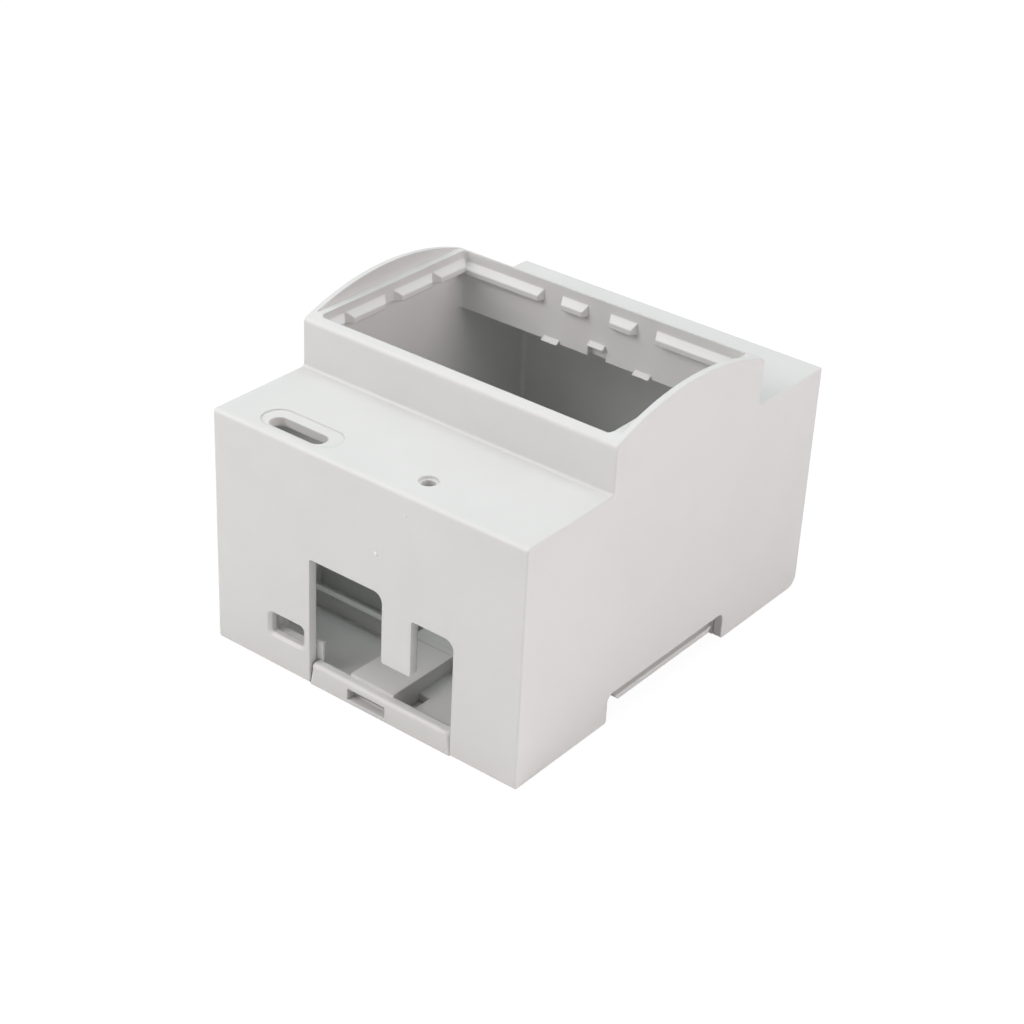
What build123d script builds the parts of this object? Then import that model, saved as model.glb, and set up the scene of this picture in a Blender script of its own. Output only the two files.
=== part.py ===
from build123d import *
import os

# A four-module enclosure for a single-board computer that clips on a 35 mm top-hat rail.
# X runs along the rail, Y across it and Z away from it; the origin is at the bottom, in the
# middle. The end with the cable openings is at -Y. All sizes are in millimetres.

# The moulded upper housing: two shoulders and a raised middle with arched side panels.
case_width = 71.4
case_length = 90.0
shoulder_height = 48.5
raised_length = 45.0
raised_shift = 0.8
raised_height = 9.6
arch_rise = 4.4
side_wall = 1.8
end_wall = 1.8
shoulder_wall = 2.0
raised_wall = 1.8
arch_wall = 1.3
panel_ledge_width = 1.5
panel_ledge_rise = 0.9

# The roundings of its outline.
top_edge_round = 0.9
rear_edge_round = 0.4
raised_foot_round = 0.6
front_foot_round = 0.55
rear_foot_round = 2.6
front_rim_round = 1.3
rear_rim_round = 0.5
outer_edge_round = 0.35
cavity_corner_round = 1.0

# The rail, the recess that takes it, and the pads of the seat that reach out under its edge.
rail_width = 35.0
rail_flange = 1.0
latch_side_room = 1.3
hook_side_room = 0.7
recess_depth = 6.1
recess_inner_round = 1.5
recess_outer_round = 1.0
seat_height = 3.1
latch_groove = 4.2
hook_pocket = 3.9
pocket_height = 5.6
pad_reach = 1.35
pad_height = 1.1

# The base tray that closes the housing from below.
base_gap = 0.15
base_lift = 0.4
floor_thickness = 1.6
base_wall = 1.6
skirt_height = 9.0
sill_gap = 0.2
lip_height = 4.6
lip_thickness = 1.8
lip_gap = 0.1
lip_edge_round = 0.9
lip_corner_round = 1.3
lip_foot_round = 0.3
lip_foot_low = 0.4
lip_foot_high = 3.0
jamb_block_width = 1.6
jamb_block_depth = 0.6
jamb_block_height = 8.6
rib_thickness = 1.4
rib_height = 3.4
rib_from_step = 5.0

# The tongues of the tray that snap into pockets in the side walls.
tongue_width = 8.0
tongue_offset = 32.0
tongue_slit = 0.8
tongue_root = 3.2
barb_reach = 0.75
barb_low = 5.8
barb_height = 1.8
barb_face = 0.45
barb_gap = 0.15

# The board inside: its place, its fixing holes and the openings for its connectors.
board_length = 86.36
board_underside = 11.0
board_thickness = 1.6
hole_from_end = 80.65
hole_spacing = 41.91
board_rest_inner = 22.6
board_rest_outer = 26.6
board_rest_depth = 3.4
post_radius = 2.9
pilot_radius = 1.2
pilot_depth = 7.0
post_foot_round = 0.6
jack_left = -12.45
jack_right = 4.75
jack_height = 14.0
power_left = 11.5
power_right = 21.0
power_height = 11.4
tab_gap = 0.2
sharp_opening_round = 0.5
full_opening_round = 2.0
port_left = -22.35
port_right = -14.3
port_height = 4.25
port_round = 0.7
port_bevel = 0.6

# The slot in its sunk field and the stepped indicator hole in the front shoulder.
slot_x = -19.2
slot_from_edge = 4.6
slot_length = 12.8
slot_width = 3.7
sunk_left = -27.9
sunk_right = -10.3
sunk_front = -42.9
sunk_back = -36.2
sunk_corner_round = 3.3
sunk_depth = 0.25
indicator_x = 9.4
indicator_from_edge = 6.2
indicator_radius = 1.3
indicator_step_radius = 1.8
indicator_step_depth = 0.55

# The lugs under the rim that hold the front panel.
lug_reach = 1.3
lug_drop = 3.0
wall_lug_drop = 3.6
lug_front_height = 1.1
lug_wall_height = 2.3
lug_edge_round = 0.4
lug_end_taper = 0.6
side_lug_end_taper = 1.2
short_lug_inner = 2.6
short_lug_length = 6.2
long_lug_inner = 13.2
side_lug_shift = -1.0
side_lug_inner = 1.2
side_lug_length = 11.1
side_lug_space = 0.3
key_notch_width = 4.3
key_notch_height = 2.5
key_notch_depth = 1.2
edge_tab_offset = 9.0
edge_tab_length = 3.7
edge_tab_height = 0.8
edge_tab_front = 0.15
edge_tab_reach = 1.0

# The sliding latch, its channel in the floor and the slot that a screwdriver enters.
latch_x = 1.25
channel_width = 7.8
channel_wall = 1.2
channel_lip = 0.8
channel_lip_height = 0.6
channel_sill = 3.6
channel_roof = 1.95
tool_slot_width = 8.9
tool_slot_low = 0.7
tool_slot_high = 3.1
latch_side_gap = 0.15
latch_face_gap = 0.15
latch_thickness = 1.95
latch_travel = 2.6
latch_bite = 1.5
latch_rear_room = 4.4
tip_length = 5.0
tip_step_room = 0.2
tip_gap = 0.2
tip_ramp = 2.4
tip_nose = 0.8
peg_from_lip = 8.7
peg_width = 3.2
peg_length = 2.0
peg_gap = 0.1
leaf_thickness = 0.7
leaf_rise = 3.0
leaf_gap = 0.3
latch_window_width = 4.4
latch_window_back = 4.0
blade_slot_length = 1.4
blade_slot_from_end = 0.9

# The two fixed hooks that the far flange of the rail hangs in, and the cored holes.
hook_inner = 9.0
hook_outer = 23.0
hook_reach = 2.3
hook_ramp = 0.9
floor_core_width = 2.5
floor_core_from_lip = 0.6
floor_core_depth = 6.4

# How far a cut reaches past a face, how far joined solids overlap, and the tolerance of a place.
overcut = 1.0
overlap = 0.1
tolerance = 0.01

# Values that follow from the sizes above.
half_width = case_width / 2
half_length = case_length / 2
half_raised = raised_length / 2
arch_foot_height = shoulder_height + raised_height
crown_height = arch_foot_height + arch_rise
panel_ledge_height = arch_foot_height + panel_ledge_rise
lug_low = arch_foot_height - lug_drop
wall_lug_low = arch_foot_height - wall_lug_drop
recess_front = -(rail_width / 2 + latch_side_room)
recess_back = rail_width / 2 + hook_side_room
seat_front = recess_front + latch_groove
seat_back = recess_back - hook_pocket
inner_half_width = half_width - side_wall
inner_half_length = half_length - end_wall
window_half_length = half_raised - raised_wall
window_half_width = half_width - arch_wall - panel_ledge_width
ceiling = shoulder_height - shoulder_wall
board_top = board_underside + board_thickness
board_front = -board_length / 2
base_half_width = inner_half_width - base_gap
base_half_length = inner_half_length - base_gap
floor_top = base_lift + floor_thickness
lip_inner = -half_length + lip_thickness
peg_y = lip_inner + peg_from_lip
latch_rear = lip_inner + latch_rear_room
flange_back = seat_height - rail_flange
tip_top = flange_back - tip_gap
latch_low = base_lift + channel_lip_height + latch_face_gap
latch_top = latch_low + latch_thickness
channel_top = latch_top + latch_face_gap
channel_roof_top = channel_top + channel_roof
above = crown_height + overcut


def block(x, y, z):
    """A box between two corners, given as a pair of values for each direction."""
    size = Box(x[1] - x[0], y[1] - y[0], z[1] - z[0])
    return Pos((x[0] + x[1]) / 2, (y[0] + y[1]) / 2, (z[0] + z[1]) / 2) * size


def rounded(face, places, radius):
    """Rounds the corners of a flat outline that lie at the given places."""
    corners = [
        corner
        for corner in face.vertices()
        if any(abs(corner.X - u) < tolerance and abs(corner.Y - v) < tolerance for u, v in places)
    ]
    return fillet(corners, radius)


def mirrored(solid):
    """A solid with its twin on the other side of the middle plane across X."""
    return solid + mirror(solid, Plane.YZ)


def case_outline():
    """The side view of the housing, before the rail recess is cut in its lower edge."""
    front = raised_shift - half_raised
    back = raised_shift + half_raised
    walls = Polyline(
        (front, arch_foot_height),
        (front, shoulder_height),
        (-half_length, shoulder_height),
        (-half_length, 0),
        (half_length, 0),
        (half_length, shoulder_height),
        (back, shoulder_height),
        (back, arch_foot_height),
    )
    arch = ThreePointArc(
        (back, arch_foot_height),
        (raised_shift, crown_height),
        (front, arch_foot_height),
    )
    face = make_face(walls + arch)
    for places, radius in (
        (((-half_length, shoulder_height),), top_edge_round),
        (((half_length, shoulder_height),), rear_edge_round),
        (((front, shoulder_height), (back, shoulder_height)), raised_foot_round),
        (((front, arch_foot_height),), front_rim_round),
        (((back, arch_foot_height),), rear_rim_round),
        (((-half_length, 0),), front_foot_round),
        (((half_length, 0),), rear_foot_round),
    ):
        face = rounded(face, places, radius)
    return Plane.YZ * face


def rail_recess():
    """The cut across the lower edge of both side walls, with its mouth rounded outwards."""
    flare = recess_outer_round + overlap
    face = make_face(
        Polyline(
            (recess_front - flare, -overcut),
            (recess_front - flare, 0),
            (recess_front, 0),
            (recess_front, recess_depth),
            (recess_back, recess_depth),
            (recess_back, 0),
            (recess_back + flare, 0),
            (recess_back + flare, -overcut),
            (recess_front - flare, -overcut),
        )
    )
    inner = ((recess_front, recess_depth), (recess_back, recess_depth))
    face = rounded(face, ((recess_front, 0), (recess_back, 0)), recess_outer_round)
    face = rounded(face, inner, recess_inner_round)
    return extrude(Plane.YZ * face, half_width + overcut, both=True)


def housing_shell():
    """The outer form with its cavity and the top window that the front panel closes."""
    shell = extrude(case_outline(), half_width, both=True)
    sides = shell.faces().filter_by(Axis.X).sort_by(Axis.X)
    shell = fillet(sides[0].edges() + sides[-1].edges(), outer_edge_round) - rail_recess()
    panel_bed = block(
        (arch_wall - half_width, half_width - arch_wall),
        (-window_half_length, window_half_length),
        (panel_ledge_height, above),
    )
    shell -= over_window(fillet(panel_bed.edges().filter_by(Axis.Z), cavity_corner_round))
    cavity = block(
        (-inner_half_width, inner_half_width),
        (-inner_half_length, inner_half_length),
        (-overcut, ceiling),
    )
    cavity = fillet(cavity.edges().filter_by(Axis.Z), cavity_corner_round)
    throat = block(
        (-window_half_width, window_half_width),
        (-window_half_length, window_half_length),
        (ceiling - cavity_corner_round, above),
    )
    # Below the lugs the side walls are as thin as in the shoulders.
    set_back = block(
        (-inner_half_width, inner_half_width),
        (-window_half_length, window_half_length),
        (ceiling - cavity_corner_round, lug_low),
    )
    shell -= cavity
    for cut in (throat, set_back):
        shell -= over_window(fillet(cut.edges().filter_by(Axis.Z), cavity_corner_round))
    return shell


def over_window(solid):
    """A solid modelled about the origin, moved to the middle of the raised window."""
    return Pos(0, raised_shift, 0) * solid


def connector_opening():
    """The opening in the end wall for the network jack and the power jack, with the tab between."""
    foot = -overcut
    jack_top = board_top + jack_height
    power_top = board_top + power_height
    tab_bottom = board_top - tab_gap
    face = make_face(
        Polyline(
            (jack_left, foot),
            (jack_left, jack_top),
            (jack_right, jack_top),
            (jack_right, tab_bottom),
            (power_left, tab_bottom),
            (power_left, power_top),
            (power_right, power_top),
            (power_right, foot),
            (jack_left, foot),
        )
    )
    top_left = ((jack_left, jack_top), (power_left, power_top))
    top_right = ((jack_right, jack_top), (power_right, power_top))
    tab_corners = ((jack_right, tab_bottom), (power_left, tab_bottom))
    face = rounded(face, top_left + tab_corners, sharp_opening_round)
    face = rounded(face, top_right, full_opening_round)
    cutter = Plane((0, -half_length, 0), x_dir=(1, 0, 0), z_dir=(0, -1, 0)) * face
    return extrude(cutter, end_wall + overcut, both=True)


def port_opening():
    """The small port for the connector under the board, with a bevel round its mouth."""
    top = board_underside
    port = Rectangle(port_right - port_left, port_height)
    port = fillet(port.vertices(), port_round)
    middle = ((port_left + port_right) / 2, -half_length, top - port_height / 2)
    mouth = Plane(middle, x_dir=(1, 0, 0), z_dir=(0, 1, 0))
    flared = offset(port, port_bevel)
    bevel = loft([mouth * flared, mouth.offset(port_bevel) * port])
    return extrude(mouth * port, end_wall + overcut) + bevel


def shoulder_openings():
    """The slot in its sunk field, and the stepped hole, in the front shoulder."""
    slot_place = Pos(slot_x, -half_length + slot_from_edge, shoulder_height)
    hole_place = Pos(indicator_x, -half_length + indicator_from_edge, shoulder_height)
    depth = shoulder_wall + overcut
    field = Rectangle(sunk_right - sunk_left, sunk_back - sunk_front)
    field = fillet(field.vertices(), sunk_corner_round)
    field_place = Pos((sunk_left + sunk_right) / 2, (sunk_front + sunk_back) / 2, shoulder_height)
    return [
        slot_place * extrude(SlotOverall(slot_length, slot_width), -depth),
        field_place * extrude(field, -sunk_depth),
        hole_place * extrude(Circle(indicator_radius), -depth),
        hole_place * extrude(Circle(indicator_step_radius), -indicator_step_depth),
    ]


def lug(length, taper, low):
    """One lug along X, from its wall at y = 0 towards -Y: a wedge with tapered ends."""
    section = make_face(
        Polyline(
            (0, low),
            (0, low + lug_wall_height),
            (-lug_reach, low + lug_front_height),
            (-lug_reach, low),
            (0, low),
        )
    )
    section = rounded(section, ((-lug_reach, low + lug_front_height),), lug_edge_round)
    bar = extrude(Plane.YZ * section, length / 2, both=True)
    plan = make_face(
        Polyline(
            (-length / 2, 0),
            (length / 2, 0),
            (length / 2 - taper, -lug_reach),
            (taper - length / 2, -lug_reach),
            (-length / 2, 0),
        )
    )
    return bar & Pos(0, 0, low) * extrude(plan, lug_wall_height)


def panel_lugs():
    """All the lugs round the window: long and short ones across, and four on each side."""
    lugs = []
    long_length = window_half_width - long_lug_inner
    for turn in (0, 180):
        for side in (-1, 1):
            short = Pos(side * (short_lug_inner + short_lug_length / 2), window_half_length, 0)
            long = Pos(side * (long_lug_inner + long_length / 2), window_half_length, 0)
            for place, length in ((short, short_lug_length), (long, long_length)):
                solid = Rot(0, 0, turn) * place * lug(length, lug_end_taper, wall_lug_low)
                lugs.append(over_window(solid))
    end_inner = side_lug_inner + side_lug_length + side_lug_space
    for side in (-1, 1):
        window_end = raised_shift + side * window_half_length
        end_length = abs(window_end - side_lug_shift) - end_inner
        for middle, length in (
            (side_lug_inner + side_lug_length / 2, side_lug_length),
            (end_inner + end_length / 2, end_length),
        ):
            place = Pos(-window_half_width, side_lug_shift + side * middle, 0) * Rot(0, 0, 90)
            lugs += [place * lug(length, side_lug_end_taper, lug_low)]
            lugs += [mirror(lugs[-1], Plane.YZ)]
    return lugs


def edge_tab(x, low):
    """A small wedge that stands out of a raised wall, along X, with its flat underside at a height."""
    section = make_face(
        Polyline(
            (overlap, low),
            (overlap, low + edge_tab_height),
            (0, low + edge_tab_height),
            (-edge_tab_reach, low + edge_tab_front),
            (-edge_tab_reach, low),
            (overlap, low),
        )
    )
    tab = extrude(Plane.YZ * section, edge_tab_length / 2, both=True)
    return Pos(x, window_half_length, 0) * tab


def tongue_places():
    """The middle of each snap tongue along Y."""
    return (-tongue_offset, tongue_offset)


def upper_housing():
    """The whole moulded upper part."""
    body = housing_shell() + panel_lugs()
    body -= connector_opening()
    body -= port_opening()
    body -= shoulder_openings()
    notch = block(
        (-key_notch_width / 2, key_notch_width / 2),
        (window_half_length - overcut, window_half_length + key_notch_depth),
        (ceiling - overcut, ceiling + key_notch_height),
    )
    body -= [over_window(notch), over_window(Rot(0, 0, 180) * notch)]
    tab_middle = edge_tab_offset + edge_tab_length / 2
    tabs = [edge_tab(-tab_middle, ceiling), edge_tab(tab_middle, ceiling)]
    tabs += [edge_tab(0, ceiling + key_notch_height)]
    for turn in (0, 180):
        body += [over_window(Rot(0, 0, turn) * tab) for tab in tabs]
    for y in tongue_places():
        pocket = block(
            (inner_half_width - overcut, inner_half_width + barb_reach - base_gap + barb_gap),
            (y - tongue_width / 2 - barb_gap, y + tongue_width / 2 + barb_gap),
            (barb_low - barb_gap, barb_low + barb_height + barb_gap),
        )
        body -= mirrored(pocket)
    return body


def tray_section():
    """The tray in side view: two floors, and between them the raised seat for the rail."""
    step = base_wall
    pocket_top = pocket_height + floor_thickness
    seat_top = seat_height + floor_thickness
    return Plane.YZ * make_face(
        Polyline(
            (-base_half_length, base_lift),
            (recess_front, base_lift),
            (recess_front, pocket_height),
            (seat_front, pocket_height),
            (seat_front, seat_height),
            (seat_back, seat_height),
            (seat_back, pocket_height),
            (recess_back, pocket_height),
            (recess_back, base_lift),
            (base_half_length, base_lift),
            (base_half_length, floor_top),
            (recess_back + step, floor_top),
            (recess_back + step, pocket_top),
            (seat_back - step, pocket_top),
            (seat_back - step, seat_top),
            (seat_front + step, seat_top),
            (seat_front + step, pocket_top),
            (recess_front - step, pocket_top),
            (recess_front - step, floor_top),
            (-base_half_length, floor_top),
            (-base_half_length, base_lift),
        )
    )


def tray_skirt():
    """The upstand inside the side walls and the rear wall, with its snap tongues cut free."""
    outer = block(
        (-base_half_width, base_half_width),
        (-base_half_length, base_half_length),
        (base_lift, skirt_height),
    )
    outer = fillet(outer.edges().filter_by(Axis.Z), cavity_corner_round)
    inner = block(
        (base_wall - base_half_width, base_half_width - base_wall),
        (-half_length, base_half_length - base_wall),
        (0, above),
    )
    rail_way = block(
        (-half_width, half_width),
        (recess_front - base_wall / 2, recess_back + base_wall / 2),
        (0, seat_height + floor_thickness / 2),
    )
    skirt = outer - inner - rail_way
    for ends in ((recess_front - base_wall / 2, seat_front), (seat_back, recess_back + base_wall / 2)):
        skirt -= block((-half_width, half_width), ends, (0, pocket_height + floor_thickness / 2))
    for y in tongue_places():
        for side in (-1, 1):
            edge = y + side * (tongue_width + tongue_slit) / 2
            slit = block(
                (base_half_width - base_wall - overcut, half_width),
                (edge - tongue_slit / 2, edge + tongue_slit / 2),
                (tongue_root, above),
            )
            skirt -= mirrored(slit)
        skirt += mirrored(Pos(base_half_width, y, barb_low) * barb())
    return skirt


def barb():
    """The wedge of a snap tongue: flat below, and sloping back to the tongue above."""
    section = make_face(
        Polyline((0, 0), (barb_reach, 0), (barb_reach, barb_face), (0, barb_height), (0, 0))
    )
    return extrude(Plane.XZ * section, tongue_width / 2, both=True)


def seat_pad():
    """The end of the rail seat at +X, which reaches out under the side wall of the housing."""
    top = seat_height + pad_height
    section = make_face(
        Polyline(
            (seat_front, seat_height),
            (seat_back, seat_height),
            (seat_back + pad_height, top),
            (seat_front - pad_height, top),
            (seat_front, seat_height),
        )
    )
    return Pos(base_half_width - overlap, 0, 0) * extrude(Plane.YZ * section, pad_reach + overlap)


def lip_outline(radius):
    """The lip in the connector opening from above, with its two outer corners rounded."""
    left = jack_left + lip_gap
    right = power_right - lip_gap
    back = lip_inner + base_gap
    corners = ((left, -half_length), (right, -half_length))
    face = make_face(Polyline(*corners, (right, back), (left, back), (left, -half_length)))
    return rounded(face, corners, radius)


def tray_lip():
    """The lip: sharp-cornered at its foot, rounder above, with a soft upper edge."""
    foot = lip_outline(lip_foot_round)
    upper = lip_outline(lip_corner_round)
    lip = extrude(foot, lip_foot_low)
    lip += loft([Pos(0, 0, lip_foot_low) * foot, Pos(0, 0, lip_foot_high) * upper])
    lip += Pos(0, 0, lip_foot_high) * extrude(upper, lip_height - lip_foot_high)
    top = lip.edges().group_by(Axis.Z)[-1].sort_by(Axis.Y)
    return fillet(top[:-1], lip_edge_round)


def board_post(x, y):
    """A post for the board, with a pilot hole for a self-tapping screw."""
    post = Pos(x, y, floor_top) * extrude(Circle(post_radius), board_underside - floor_top)
    foot = Pos(x, y, floor_top) * Cone(
        post_radius + post_foot_round,
        post_radius,
        post_foot_round,
        align=(Align.CENTER, Align.CENTER, Align.MIN),
    )
    hole = Pos(x, y, board_underside) * extrude(Circle(pilot_radius), -pilot_depth)
    return post + foot, hole


def fixed_hook():
    """One hook under the far flange of the rail, with a sloping lead-in."""
    wall_y = recess_back
    section = make_face(
        Polyline(
            (wall_y + base_wall / 2, base_lift),
            (wall_y - hook_reach + hook_ramp, base_lift),
            (wall_y - hook_reach, base_lift + hook_ramp),
            (wall_y - hook_reach, tip_top),
            (wall_y + base_wall / 2, tip_top),
            (wall_y + base_wall / 2, base_lift),
        )
    )
    middle = (hook_inner + hook_outer) / 2
    return Pos(middle, 0, 0) * extrude(Plane.YZ * section, (hook_outer - hook_inner) / 2, both=True)


def latch_channel():
    """The raised channel in the front floor: what it adds, and what it cuts away."""
    half = channel_width / 2
    roofed = block(
        (latch_x - half - channel_wall, latch_x + half + channel_wall),
        (lip_inner - overlap, recess_front),
        (base_lift, channel_roof_top),
    )
    bore = block(
        (latch_x - half, latch_x + half),
        (lip_inner, recess_front + overcut),
        (base_lift + channel_lip_height, channel_top),
    )
    gap = block(
        (latch_x - half + channel_lip, latch_x + half - channel_lip),
        (lip_inner + channel_sill, recess_front + overcut),
        (0, base_lift + channel_lip_height + overlap),
    )
    doorway = block(
        (latch_x - half, latch_x + half),
        (recess_front - tip_length, recess_front + overcut),
        (0, flange_back),
    )
    peg = block(
        (latch_x - peg_width / 2, latch_x + peg_width / 2),
        (peg_y - peg_length / 2, peg_y + peg_length / 2),
        (base_lift + channel_lip_height, channel_top + overlap),
    )
    return roofed, [bore, gap, doorway], peg


def base_tray():
    """The whole tray: floors, rail seat, skirt, lip, board rests, hooks and the latch's channel."""
    cavity_fit = block(
        (-base_half_width, base_half_width),
        (-base_half_length, base_half_length),
        (0, above),
    )
    cavity_fit = fillet(cavity_fit.edges().filter_by(Axis.Z), cavity_corner_round)
    tray = extrude(tray_section(), base_half_width, both=True) & cavity_fit
    tray = tray + tray_skirt()
    lip_sill = block(
        (jack_left + lip_gap, power_right - lip_gap),
        (lip_inner, -base_half_length + base_wall),
        (base_lift, floor_top),
    )
    jamb_block = block(
        (jack_left - jamb_block_width / 2, jack_left + jamb_block_width),
        (-base_half_length, -base_half_length + jamb_block_depth),
        (base_lift, jamb_block_height),
    )
    board_rest = block(
        (board_rest_inner, board_rest_outer),
        (-base_half_length, -base_half_length + board_rest_depth),
        (base_lift, board_underside),
    )
    tray = tray + tray_lip() + lip_sill + jamb_block
    tray = tray + mirrored(board_rest) + mirrored(seat_pad())
    sill_height = board_underside - port_height - sill_gap
    for ends in ((-base_half_width, jack_left), (power_right, base_half_width)):
        sill = block(ends, (-base_half_length, base_wall - base_half_length), (base_lift, sill_height))
        tray += sill & cavity_fit
    rib_y = recess_front - base_wall - rib_from_step
    rib = block(
        (base_wall - base_half_width, base_half_width - base_wall),
        (rib_y - rib_thickness, rib_y),
        (base_lift, floor_top + rib_height),
    )
    roofed, cuts, peg = latch_channel()
    tray = tray + rib + roofed
    tray -= cuts
    tray += peg
    for side in (-1, 1):
        post, hole = board_post(side * hole_spacing / 2, board_front + hole_from_end)
        tray = tray + post - hole
    hook_core = block(
        (hook_inner, hook_outer),
        (recess_back - hook_reach, recess_back),
        (pocket_height - overcut, above),
    )
    tray = tray + mirrored(fixed_hook()) - mirrored(hook_core)
    tool_slot = block(
        (latch_x - tool_slot_width / 2, latch_x + tool_slot_width / 2),
        (-half_length - overcut, lip_inner + overlap),
        (tool_slot_low, tool_slot_high),
    )
    core_left = latch_x + channel_width / 2 + channel_wall
    floor_core = block(
        (core_left, core_left + floor_core_width),
        (lip_inner + floor_core_from_lip, lip_inner + floor_core_from_lip + floor_core_depth),
        (0, floor_top + overcut),
    )
    return tray - tool_slot - floor_core


def rail_latch():
    """The sliding latch: a nose for the rail, a window for the peg and a moulded leaf spring."""
    half = channel_width / 2 - latch_side_gap
    step_y = -rail_width / 2 - tip_step_room
    nose_y = -rail_width / 2 + latch_bite
    tip_back = nose_y - tip_length
    tip_low = base_lift + latch_face_gap
    plate = block((-half, half), (latch_rear, step_y), (latch_low, latch_top))
    tip_section = make_face(
        Polyline(
            (tip_back, latch_low),
            (tip_back, tip_top),
            (nose_y, tip_top),
            (nose_y, tip_top - tip_nose),
            (nose_y - tip_ramp, tip_low),
            (tip_back, latch_low),
        )
    )
    tip = extrude(Plane.YZ * tip_section, half, both=True)
    stop = peg_y - peg_length / 2 - peg_gap
    leaf_front = peg_y + peg_length / 2 + latch_travel + leaf_gap
    leaf_foot = leaf_front + leaf_rise
    window = block(
        (-latch_window_width / 2, latch_window_width / 2),
        (stop, leaf_foot + latch_window_back),
        (0, above),
    )
    bow = ThreePointArc(
        (-latch_window_width / 2, leaf_foot),
        (0, leaf_front),
        (latch_window_width / 2, leaf_foot),
    )
    inner_bow = ThreePointArc(
        (latch_window_width / 2, leaf_foot + leaf_thickness),
        (0, leaf_front + leaf_thickness),
        (-latch_window_width / 2, leaf_foot + leaf_thickness),
    )
    leaf_outline = [bow, Line(bow @ 1, inner_bow @ 0), inner_bow, Line(inner_bow @ 1, bow @ 0)]
    leaf = Pos(0, 0, latch_low) * extrude(make_face(leaf_outline), latch_thickness)
    blade_slot = block(
        (-latch_window_width / 2, latch_window_width / 2),
        (latch_rear + blade_slot_from_end, latch_rear + blade_slot_from_end + blade_slot_length),
        (0, above),
    )
    return Pos(latch_x, 0, 0) * (plate + tip - window - blade_slot + leaf)


os.makedirs("parts", exist_ok=True)
export_step(upper_housing(), "parts/upper_housing.step")
export_step(base_tray(), "parts/base_tray.step")
export_step(rail_latch(), "parts/rail_latch.step")
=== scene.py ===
import math

import bmesh
import bpy
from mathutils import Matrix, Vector


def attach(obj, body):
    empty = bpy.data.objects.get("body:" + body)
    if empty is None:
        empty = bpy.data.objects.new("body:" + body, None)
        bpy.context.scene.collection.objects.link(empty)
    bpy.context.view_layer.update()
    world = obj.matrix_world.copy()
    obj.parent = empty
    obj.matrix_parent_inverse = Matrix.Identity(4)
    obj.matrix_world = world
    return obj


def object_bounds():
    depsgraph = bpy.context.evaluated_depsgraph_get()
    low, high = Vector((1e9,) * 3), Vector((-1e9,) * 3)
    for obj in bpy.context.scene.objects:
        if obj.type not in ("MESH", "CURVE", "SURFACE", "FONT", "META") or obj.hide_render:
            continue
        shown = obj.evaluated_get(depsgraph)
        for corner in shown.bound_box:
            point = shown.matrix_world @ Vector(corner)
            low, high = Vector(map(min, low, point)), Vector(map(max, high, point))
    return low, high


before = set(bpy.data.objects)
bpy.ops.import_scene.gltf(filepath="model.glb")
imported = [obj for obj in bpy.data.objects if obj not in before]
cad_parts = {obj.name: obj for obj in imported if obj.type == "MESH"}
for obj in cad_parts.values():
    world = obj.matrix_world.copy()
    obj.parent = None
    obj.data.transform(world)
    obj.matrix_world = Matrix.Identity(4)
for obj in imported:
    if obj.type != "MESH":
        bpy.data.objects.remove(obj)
cad_low, cad_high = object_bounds()
scene = bpy.context.scene


# The camera.
# It stands to the front right of the connector end, a little over 40 cm away, and looks down
# by about thirty degrees with a short telephoto lens, so the far edges draw together slightly.
CAMERA_STAND = (0.215035, -0.28692, 0.231721)
CAMERA_TURNS = (59.6235, -2.4925, 38.5702)  # in degrees

camera = bpy.data.cameras.new("view_camera")
camera.sensor_width = 36.0
camera.lens = 77.102
camera.clip_start = 0.02
camera.clip_end = 20.0
viewpoint = bpy.data.objects.new("view_camera", camera)
viewpoint.location = CAMERA_STAND
viewpoint.rotation_euler = [math.radians(turn) for turn in CAMERA_TURNS]
scene.collection.objects.link(viewpoint)
scene.camera = viewpoint


# The upper housing.
# One injection moulding in light grey ABS. Its mould was finished by spark erosion, which leaves
# an even matte grain on the outside, and the handled rims and corners are a trace paler.
MILLIMETRE = 0.001
ABS_IOR = 1.54
BLOOM_PATCH = 14 * MILLIMETRE
NOISE_RANGE = {"From Min": 0.3, "From Max": 0.7}
SMOOTHER_BY = 0.03
ROUGHER_BY = 0.05
EDGE_SOFTNESS = 0.35 * MILLIMETRE
EDGE_COLOUR = "#EDEEEC"
EDGE_PALING = 0.1
FLAT_COSINE = 0.995
EDGE_COSINE = 0.85


def linear(code):
    """A colour written as a hex code, as the linear values that the shader takes."""
    parts = [int(code[place : place + 2], 16) / 255 for place in (1, 3, 5)]
    curve = [part / 12.92 if part <= 0.04045 else ((part + 0.055) / 1.055) ** 2.4 for part in parts]
    return (*curve, 1.0)


def bare_tree(owner):
    """Gives a material or a world an empty node tree."""
    owner.use_nodes = True
    owner.node_tree.nodes.clear()
    return owner.node_tree


def add(tree, kind, values=None, links=None, **settings):
    """Adds one node, sets its properties and its inputs, and joins what feeds it."""
    made = tree.nodes.new(kind)
    for name, value in settings.items():
        setattr(made, name, value)
    for socket, value in (values or {}).items():
        made.inputs[socket].default_value = value
    for socket, source in (links or {}).items():
        tree.links.new(source, made.inputs[socket])
    return made


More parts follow.
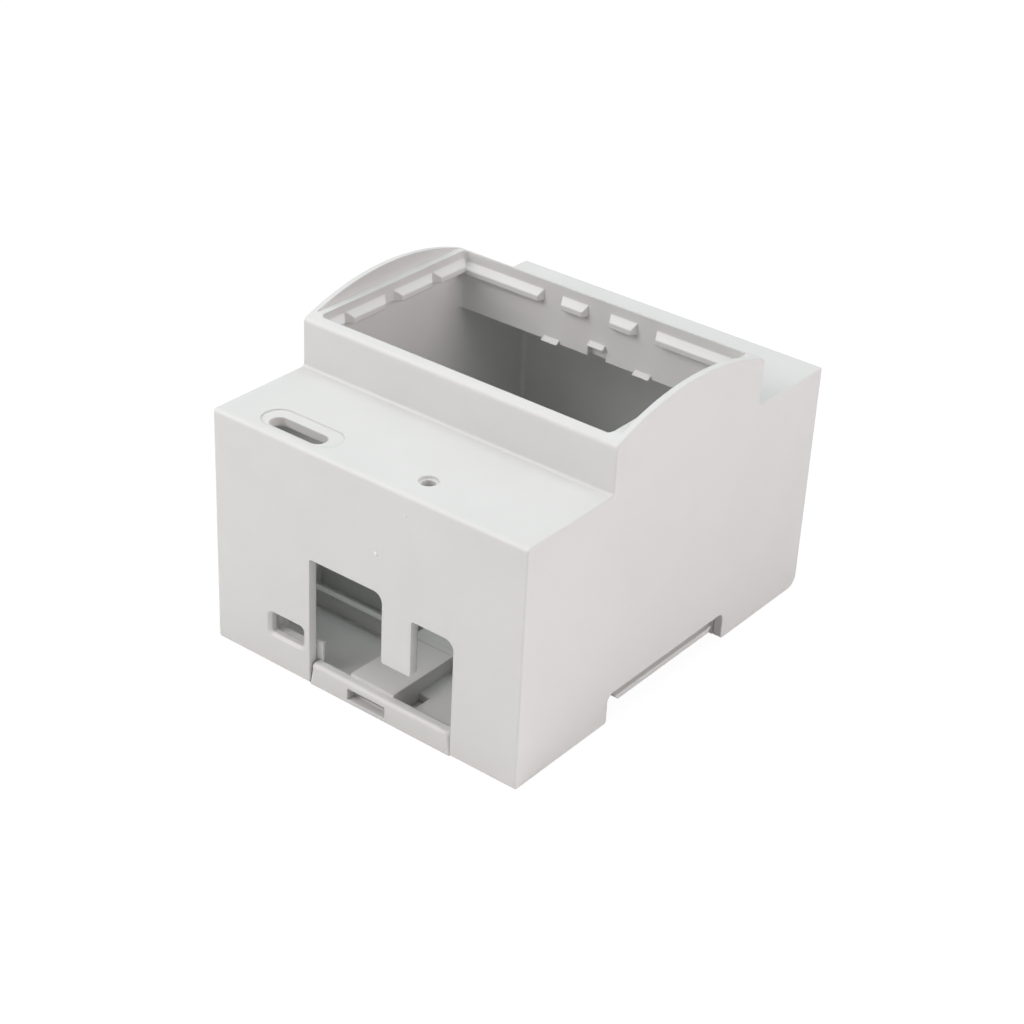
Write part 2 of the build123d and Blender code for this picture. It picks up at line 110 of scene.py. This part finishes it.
def moulded_plastic(name, base, bloom, grain_size, grain_depth, roughness):
    """A moulded ABS: its grain, a faint bloom over larger patches, and slightly paler edges."""
    material = bpy.data.materials.new(name)
    tree = bare_tree(material)
    place = add(tree, "ShaderNodeTexCoord").outputs["Object"]
    # The bloom is a slight unevenness of the tint where the melt cooled faster or slower.
    patches = add(
        tree,
        "ShaderNodeTexNoise",
        {"Scale": 1 / BLOOM_PATCH, "Detail": 3.0, "Roughness": 0.55, "Distortion": 0.4},
        {"Vector": place},
    )
    patch_level = add(
        tree,
        "ShaderNodeMapRange",
        NOISE_RANGE,
        {"Value": patches.outputs["Fac"]},
    )
    tint = add(
        tree,
        "ShaderNodeMix",
        {"A": linear(base), "B": linear(bloom)},
        {"Factor": patch_level.outputs["Result"]},
        data_type="RGBA",
    )
    # Light sees each edge as slightly rounded. How far that turns the surface, as a cosine,
    # tells an edge from a flat, and an edge is a trace paler where the part has been handled.
    softened = add(tree, "ShaderNodeBevel", {"Radius": EDGE_SOFTNESS}, samples=6)
    facing = add(tree, "ShaderNodeNewGeometry")
    straightness = add(
        tree,
        "ShaderNodeVectorMath",
        links={0: softened.outputs["Normal"], 1: facing.outputs["Normal"]},
        operation="DOT_PRODUCT",
    )
    edge = add(
        tree,
        "ShaderNodeMapRange",
        {"From Min": FLAT_COSINE, "From Max": EDGE_COSINE, "To Max": EDGE_PALING},
        {"Value": straightness.outputs["Value"]},
    )
    rubbed = add(
        tree,
        "ShaderNodeMix",
        {"B": linear(EDGE_COLOUR)},
        {"Factor": edge.outputs["Result"], "A": tint.outputs["Result"]},
        data_type="RGBA",
    )
    # The grain is drawn two or three times as coarse as the real one, so that it just shows.
    grain = add(
        tree,
        "ShaderNodeTexNoise",
        {"Scale": 1 / grain_size, "Detail": 2.0, "Roughness": 0.6},
        {"Vector": place},
    )
    bump = add(
        tree,
        "ShaderNodeBump",
        {"Strength": 0.5, "Distance": grain_depth},
        {"Height": grain.outputs["Fac"], "Normal": softened.outputs["Normal"]},
    )
    sheen_patches = add(
        tree,
        "ShaderNodeMapRange",
        {**NOISE_RANGE, "To Min": roughness - SMOOTHER_BY, "To Max": roughness + ROUGHER_BY},
        {"Value": patches.outputs["Fac"]},
    )
    shader = add(
        tree,
        "ShaderNodeBsdfPrincipled",
        {"IOR": ABS_IOR},
        {
            "Base Color": rubbed.outputs["Result"],
            "Roughness": sheen_patches.outputs["Result"],
            "Normal": bump.outputs["Normal"],
        },
    )
    add(tree, "ShaderNodeOutputMaterial", links={"Surface": shader.outputs["BSDF"]})
    return material


def dress(node, material):
    """Gives a node of the model its finish, in each of its material slots."""
    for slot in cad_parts[node].material_slots:
        slot.material = material


housing_abs = moulded_plastic(
    "spark_eroded_abs",
    base="#DBDBD9",
    bloom="#DEDEDC",
    grain_size=0.35 * MILLIMETRE,
    grain_depth=0.012 * MILLIMETRE,
    roughness=0.46,
)
dress("upper_housing", housing_abs)


# The gate marks on the connector end.
# The melt entered the mould through two pin gates in this wall. Each left a stub of plastic a
# little proud, which broke off when the mould opened. The stubs are painted near white, partly
# as the whitening of plastic stretched where it broke and partly as a painted highlight.
STUB_ROOT = 0.02 * MILLIMETRE

# A slanting direction, along which no two corners of a mark are level.
SLANT = Vector((1.0, 0.618, 0.273))

# Each mark's name, its place across the wall, its height, its radius and how proud it is, in mm.
GATE_MARKS = (
    ("gate_mark_lower", 3.24, 34.35, 0.46, 0.26),
    ("gate_mark_upper", 9.6, 44.45, 0.3, 0.14),
)


def finished(form, name, material):
    """Makes a shape into an object of that name, with its finish."""
    mesh = bpy.data.meshes.new(name)
    form.to_mesh(mesh)
    form.free()
    piece = bpy.data.objects.new(name, mesh)
    piece.data.materials.append(material)
    scene.collection.objects.link(piece)
    return piece


# Near white, partly for the stretched plastic and partly as a painted highlight on each stub.
stretched_and_highlit_abs = moulded_plastic(
    "stretched_and_highlit_abs",
    base="#F0F0EF",
    bloom="#F4F4F3",
    grain_size=0.3 * MILLIMETRE,
    grain_depth=0.01 * MILLIMETRE,
    roughness=0.4,
)
for name, across, height, radius, proud in GATE_MARKS:
    # The stub is the outer half of a flattened ball, closed just inside the wall.
    stub = bmesh.new()
    bmesh.ops.create_uvsphere(stub, u_segments=32, v_segments=16, radius=1.0)
    bmesh.ops.scale(stub, vec=Vector((radius, proud, radius)) * MILLIMETRE, verts=stub.verts)
    bmesh.ops.bisect_plane(
        stub,
        geom=stub.verts[:] + stub.edges[:] + stub.faces[:],
        plane_co=(0, STUB_ROOT, 0),
        plane_no=(0, 1, 0),
        clear_outer=True,
    )
    bmesh.ops.contextual_create(stub, geom=[edge for edge in stub.edges if edge.is_boundary])
    bmesh.ops.recalc_face_normals(stub, faces=stub.faces)
    # The ball and the cut leave the mesh in an order that changes from run to run, so it is sorted.
    stub.verts.sort(key=lambda vert: vert.co.dot(SLANT))
    stub.faces.sort(key=lambda face: face.calc_center_median().dot(SLANT))
    middle = Vector((across * MILLIMETRE, cad_low[1], height * MILLIMETRE))
    bmesh.ops.translate(stub, vec=middle, verts=stub.verts)
    for face in stub.faces:
        # Only the flat closing face has more than four corners.
        face.smooth = len(face.verts) <= 4
    mark = finished(stub, name, stretched_and_highlit_abs)
    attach(mark, "housing")


# The base tray.
# It is moulded in the same light grey ABS but in a plainer, ground mould, so its floor, lip and
# rail seat are satin rather than matte. It snaps into the housing from below.
tray_abs = moulded_plastic(
    "ground_mould_abs",
    base="#D9D9D7",
    bloom="#DCDCDA",
    grain_size=0.5 * MILLIMETRE,
    grain_depth=0.006 * MILLIMETRE,
    roughness=0.38,
)
dress("base_tray", tray_abs)


# The rail latch.
# A stiffer, slicker grade of the same plastic, from a polished mould so that it slides well in
# its channel. The leaf spring that pushes it towards the rail is moulded in one with it.
latch_abs = moulded_plastic(
    "polished_abs",
    base="#D5D5D3",
    bloom="#D9D9D7",
    grain_size=0.6 * MILLIMETRE,
    grain_depth=0.003 * MILLIMETRE,
    roughness=0.3,
)
dress("rail_latch", latch_abs)


# The floor.
# A sheet of white board, wide enough to reach past the picture on every side. It shows as nearly
# plain white and keeps a faint soft shadow of the case.
BOARD_COLOUR = "#FAFAF9"
SEEN_COLOUR = "#FFFFFF"
SEEN_WHITE = 1.04
SEEN_WHITE_SHARE = 0.9
CASE_REACH = (30 * MILLIMETRE, 43.5 * MILLIMETRE, 0)
CASE_REACH_FADE = 2 * MILLIMETRE
FLOOR_REACH = 4.0
FLOOR_DROP = 0.02 * MILLIMETRE

white_board = bpy.data.materials.new("white_board")
tree = bare_tree(white_board)
seen = add(tree, "ShaderNodeLightPath").outputs["Is Camera Ray"]
board_colour = add(
    tree,
    "ShaderNodeMix",
    {"A": linear(BOARD_COLOUR), "B": linear(SEEN_COLOUR)},
    {"Factor": seen},
    data_type="RGBA",
)
board = add(
    tree,
    "ShaderNodeBsdfDiffuse",
    {"Roughness": 1.0},
    {"Color": board_colour.outputs["Result"]},
)
# Right under the case no white is added, so the board is dark through the openings in the tray.
from_middle = add(
    tree,
    "ShaderNodeVectorMath",
    links={0: add(tree, "ShaderNodeTexCoord").outputs["Object"]},
    operation="ABSOLUTE",
)
past_reach = add(
    tree,
    "ShaderNodeVectorMath",
    {1: CASE_REACH},
    {0: from_middle.outputs["Vector"]},
    operation="SUBTRACT",
)
each_way = add(tree, "ShaderNodeSeparateXYZ", links={0: past_reach.outputs["Vector"]})
outside = add(
    tree,
    "ShaderNodeMath",
    links={0: each_way.outputs["X"], 1: each_way.outputs["Y"]},
    operation="MAXIMUM",
)
white_share = add(
    tree,
    "ShaderNodeMapRange",
    {"From Min": -CASE_REACH_FADE, "From Max": 0.0, "To Max": SEEN_WHITE_SHARE},
    {"Value": outside.outputs["Value"]},
)
seen_share = add(
    tree,
    "ShaderNodeMath",
    links={0: seen, 1: white_share.outputs["Result"]},
    operation="MULTIPLY",
)
white = add(tree, "ShaderNodeEmission", {"Strength": SEEN_WHITE})
together = add(
    tree,
    "ShaderNodeMixShader",
    links={0: seen_share.outputs["Value"], 1: board.outputs["BSDF"], 2: white.outputs["Emission"]},
)
add(tree, "ShaderNodeOutputMaterial", links={"Surface": together.outputs["Shader"]})

sheet = bmesh.new()
bmesh.ops.create_grid(sheet, x_segments=2, y_segments=2, size=FLOOR_REACH)
bmesh.ops.translate(sheet, vec=(0, 0, -FLOOR_DROP), verts=sheet.verts)
finished(sheet, "floor", white_board)


# The light.
# Soft square lamps hang above the case and stand to the left and the right of the camera, with a
# weak one behind. A pale tent fills in the rest evenly, and it is what glossy places mirror.
TENT_FILL = 0.22
TENT_SEEN = 1.0
LAMP_SIZE = 0.6
LAMP_AIM = Vector((0, 0, 0.02))

# Each lamp's name, where it stands in metres, its power in watts and its tint.
LAMPS = (
    ("overhead_lamp", (-0.05, 0.05, 0.9), 3.2, "#EEFDFF"),
    ("left_lamp", (-0.5, -0.6, 0.56), 5.3, "#FFF9F9"),
    ("right_lamp", (0.88, 0.0, 0.42), 4.1, "#FFF3F5"),
    ("rear_lamp", (0.0, 0.7, 0.7), 1.2, "#FFFFFF"),
)

light_tent = bpy.data.worlds.new("light_tent")
tree = bare_tree(light_tent)
path = add(tree, "ShaderNodeLightPath")
mirrored = add(
    tree,
    "ShaderNodeMath",
    links={0: path.outputs["Is Camera Ray"], 1: path.outputs["Is Glossy Ray"]},
    operation="MAXIMUM",
)
shown = add(
    tree,
    "ShaderNodeMath",
    links={0: mirrored.outputs["Value"], 1: path.outputs["Is Transmission Ray"]},
    operation="MAXIMUM",
)
strength = add(
    tree,
    "ShaderNodeMapRange",
    {"To Min": TENT_FILL, "To Max": TENT_SEEN},
    {"Value": shown.outputs["Value"]},
)
tent = add(tree, "ShaderNodeBackground", links={"Strength": strength.outputs["Result"]})
add(tree, "ShaderNodeOutputWorld", links={"Surface": tent.outputs["Background"]})
scene.world = light_tent

for name, stand, power, tint in LAMPS:
    lamp = bpy.data.lights.new(name, "AREA")
    lamp.shape = "SQUARE"
    lamp.size = LAMP_SIZE
    lamp.energy = power
    lamp.color = linear(tint)[:3]
    holder = bpy.data.objects.new(name, lamp)
    holder.location = stand
    holder.rotation_euler = (LAMP_AIM - Vector(stand)).to_track_quat("-Z", "Y").to_euler()
    scene.collection.objects.link(holder)

scene.view_settings.view_transform = "Standard"
